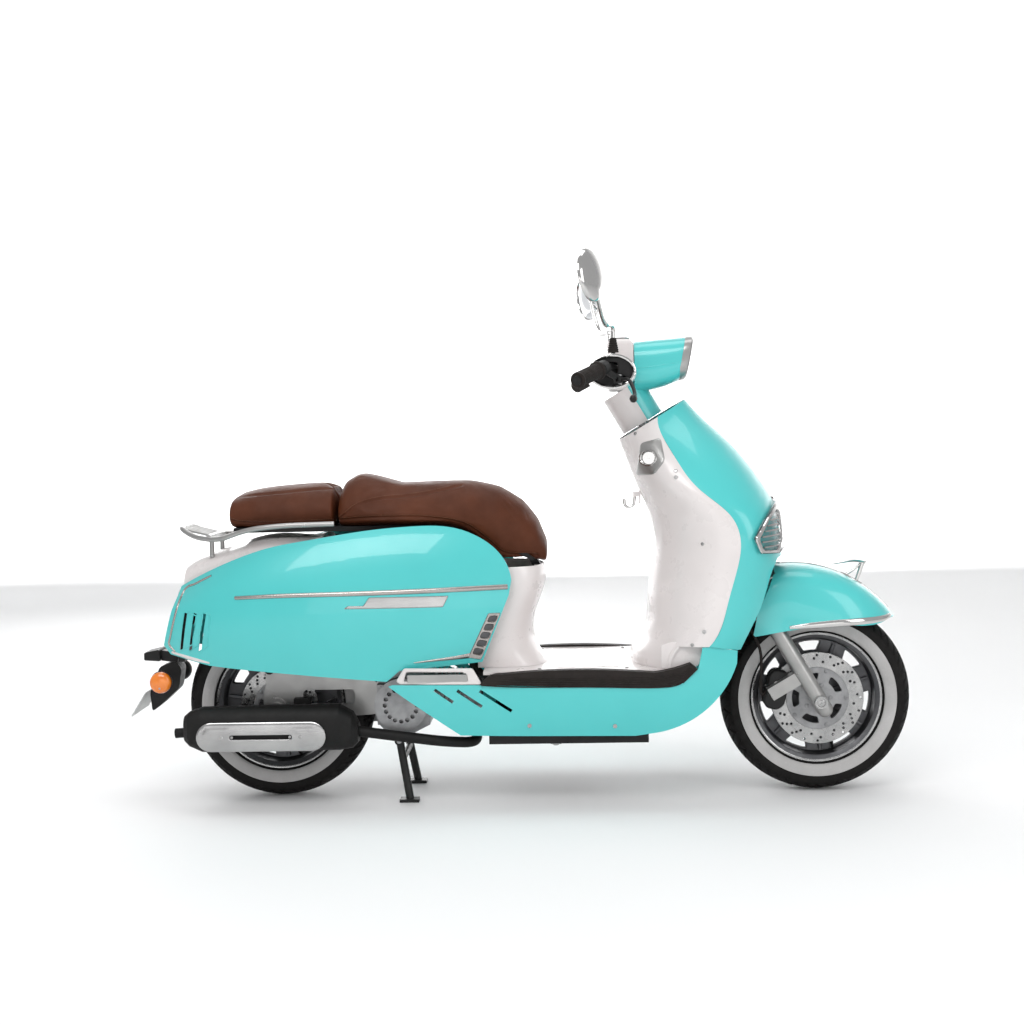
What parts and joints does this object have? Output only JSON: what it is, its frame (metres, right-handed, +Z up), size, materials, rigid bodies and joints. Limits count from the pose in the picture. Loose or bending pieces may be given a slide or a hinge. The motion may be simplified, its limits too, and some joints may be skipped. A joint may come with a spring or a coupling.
{
  "type": "moped scooter",
  "caption": "Retro step-through scooter: pressed body, twin-seat saddle, telescopic fork, disc brakes, swing-arm power unit, rack, mirrors and stands.",
  "frame": {"origin": "on the ground, at the bottom centre of the whole scooter's box, in its middle plane", "axes": "+X forward, +Y to the scooter's left, +Z up"},
  "size_m": [1.9619, 0.8146, 1.3336],
  "materials": {
    "turquoise": "gloss",
    "cream": "gloss",
    "leather": "semi-matte",
    "tyre": "matte",
    "cast_alloy": "satin",
    "silver": "satin",
    "steel": "brushed",
    "chrome": "polished",
    "black_metal": "matte",
    "black_plastic": "matte",
    "rubber": "matte",
    "lens_clear": "clear",
    "lens_red": "clear"
  },
  "bodies": {
    "chassis": {"frame": "black_metal", "front_shield": "turquoise", "inner_shield": "cream", "side_skirts": "turquoise", "floor_panel": "cream", "floor_rubbers": "rubber", "belly_pan": "black_plastic", "center_body": "cream", "side_panel_right": "turquoise", "side_panel_left": "turquoise", "side_trims": "chrome", "tail_cover": "cream", "tail_lamp": "lens_red", "plate_holder": "black_plastic", "grab_rail": "silver", "seat_bucket": "black_plastic", "fuel_tank": "black_metal", "front_lamp_unit": "lens_clear", "panel_screws": "steel"},
    "seat": {"seat_pan": "black_plastic", "rider_cushion": "leather", "pillion_cushion": "leather"},
    "side_stand": {"side_stand": "steel"},
    "peg_right": {"peg_right": "silver"},
    "peg_left": {"peg_left": "silver"},
    "bag_hook": {"bag_hook": "chrome"},
    "key_barrel": {"key_barrel": "chrome"},
    "fuel_cap": {"fuel_cap": "black_plastic"},
    "steering": {"fork_yoke": "steel", "handlebar": "black_metal", "nacelle_front": "turquoise", "nacelle_rear": "cream", "headlamp": "lens_clear", "instrument_dial": "black_plastic", "left_grip": "rubber", "front_fender": "turquoise"},
    "throttle_grip": {"throttle_grip": "rubber"},
    "brake_lever_right": {"brake_lever_right": "silver"},
    "brake_lever_left": {"brake_lever_left": "silver"},
    "mirror_right": {"mirror_right": "chrome"},
    "mirror_left": {"mirror_left": "chrome"},
    "start_button": {"start_button": "black_plastic"},
    "horn_button": {"horn_button": "black_plastic"},
    "fork_lowers": {"fork_lowers": "silver", "front_caliper": "black_metal"},
    "front_wheel": {"front_rim": "cast_alloy", "front_tyre": "tyre", "front_disc": "steel"},
    "swing_unit": {"engine": "cast_alloy", "cvt_cover": "cast_alloy", "swing_arm": "silver", "muffler": "black_metal", "muffler_shield": "steel", "rear_caliper": "black_metal"},
    "rear_wheel": {"rear_rim": "cast_alloy", "rear_tyre": "tyre"},
    "center_stand": {"center_stand": "black_metal"},
    "shock_lower": {"shock_lower": "black_metal"},
    "shock_upper": {"shock_upper": "black_metal", "shock_spring": "steel"}
  },
  "joints": [
    {"name": "steering_turn", "type": "hinge", "parent": "chassis", "child": "steering", "pos_m": [0.43003, 0, 0.74844], "axis": [-0.506, 0, 0.8625], "range_deg": [-35, 35]},
    {"name": "fork_slide", "type": "slide", "parent": "steering", "child": "fork_lowers", "axis": [-0.506, 0, 0.8625], "range_m": [0, 0.05], "stiffness_N_per_m": 9000, "springref_m": -0.12},
    {"name": "front_wheel_spin", "type": "hinge", "parent": "fork_lowers", "child": "front_wheel", "pos_m": [0.744, 0, 0.237], "axis": [0, 1, 0], "continuous": true},
    {"name": "swing_pivot", "type": "hinge", "parent": "chassis", "child": "swing_unit", "pos_m": [-0.236, 0, 0.344], "axis": [0, 1, 0], "range_deg": [0, 5], "stiffness_Nm_per_rad": 6000, "springref_deg": -6.88},
    {"name": "rear_wheel_spin", "type": "hinge", "parent": "swing_unit", "child": "rear_wheel", "pos_m": [-0.606, 0, 0.237], "axis": [0, 1, 0], "continuous": true},
    {"name": "shock_top_pivot", "type": "hinge", "parent": "chassis", "child": "shock_upper", "pos_m": [-0.56, 0, 0.56], "axis": [0, 1, 0], "range_deg": [0, 2.23]},
    {"name": "shock_slide", "type": "slide", "parent": "shock_upper", "child": "shock_lower", "axis": [0.2528, 0, 0.9675], "range_m": [0, 0.0333], "deforming": ["shock_spring"]},
    {"name": "seat_hinge", "type": "hinge", "parent": "chassis", "child": "seat", "pos_m": [0.052, 0, 0.574], "axis": [0, 1, 0], "range_deg": [0, 66]},
    {"name": "throttle_twist", "type": "hinge", "parent": "steering", "child": "throttle_grip", "pos_m": [0.224, -0.218, 1.064], "axis": [0.4317, 0.8766, 0.2125], "range_deg": [0, 70], "stiffness_Nm_per_rad": 0.3},
    {"name": "right_lever", "type": "hinge", "parent": "steering", "child": "brake_lever_right", "pos_m": [0.262, -0.207, 1.036], "axis": [0, 0, -1], "range_deg": [0, 16], "stiffness_Nm_per_rad": 2},
    {"name": "left_lever", "type": "hinge", "parent": "steering", "child": "brake_lever_left", "pos_m": [0.262, 0.207, 1.036], "axis": [0, 0, 1], "range_deg": [0, 16], "stiffness_Nm_per_rad": 2},
    {"name": "right_mirror_swivel", "type": "hinge", "parent": "steering", "child": "mirror_right", "pos_m": [0.248, -0.158, 1.102], "axis": [0, 0, 1], "range_deg": [-15, 15]},
    {"name": "left_mirror_swivel", "type": "hinge", "parent": "steering", "child": "mirror_left", "pos_m": [0.248, 0.158, 1.102], "axis": [0, 0, 1], "range_deg": [-15, 15]},
    {"name": "start_press", "type": "slide", "parent": "steering", "child": "start_button", "axis": [1, 0, 0], "range_m": [0, 0.0015], "stiffness_N_per_m": 1500},
    {"name": "horn_press", "type": "slide", "parent": "steering", "child": "horn_button", "axis": [1, 0, 0], "range_m": [0, 0.0015], "stiffness_N_per_m": 1500},
    {"name": "peg_right_fold", "type": "hinge", "parent": "chassis", "child": "peg_right", "pos_m": [-0.12, -0.21, 0.326], "axis": [0, 0, 1], "range_deg": [0, 80]},
    {"name": "peg_left_fold", "type": "hinge", "parent": "chassis", "child": "peg_left", "pos_m": [-0.12, 0.21, 0.326], "axis": [0, 0, -1], "range_deg": [0, 80]},
    {"name": "side_stand_fold", "type": "hinge", "parent": "chassis", "child": "side_stand", "pos_m": [0.088, 0.128, 0.104], "axis": [0, -1, 0], "range_deg": [0, 40]},
    {"name": "center_stand_fold", "type": "hinge", "parent": "swing_unit", "child": "center_stand", "pos_m": [-0.3, 0, 0.15], "axis": [0, 1, 0], "range_deg": [0, 80]},
    {"name": "bag_hook_fold", "type": "hinge", "parent": "chassis", "child": "bag_hook", "pos_m": [0.30114, 0, 0.752], "axis": [0, 1, 0], "range_deg": [0, 40]},
    {"name": "key_turn", "type": "hinge", "parent": "chassis", "child": "key_barrel", "pos_m": [0.33, -0.14153, 0.846], "axis": [0, -1, 0], "range_deg": [0, 90]},
    {"name": "fuel_cap_turn", "type": "hinge", "parent": "chassis", "child": "fuel_cap", "pos_m": [-0.44, 0, 0.65], "axis": [0, 0, 1], "range_deg": [0, 90]}
  ],
  "couplings": [
    {"joint": "shock_top_pivot", "follows": "swing_pivot", "ratio": 0.43732},
    {"joint": "shock_slide", "follows": "swing_pivot", "m_per_rad": 0.37043}
  ]
}
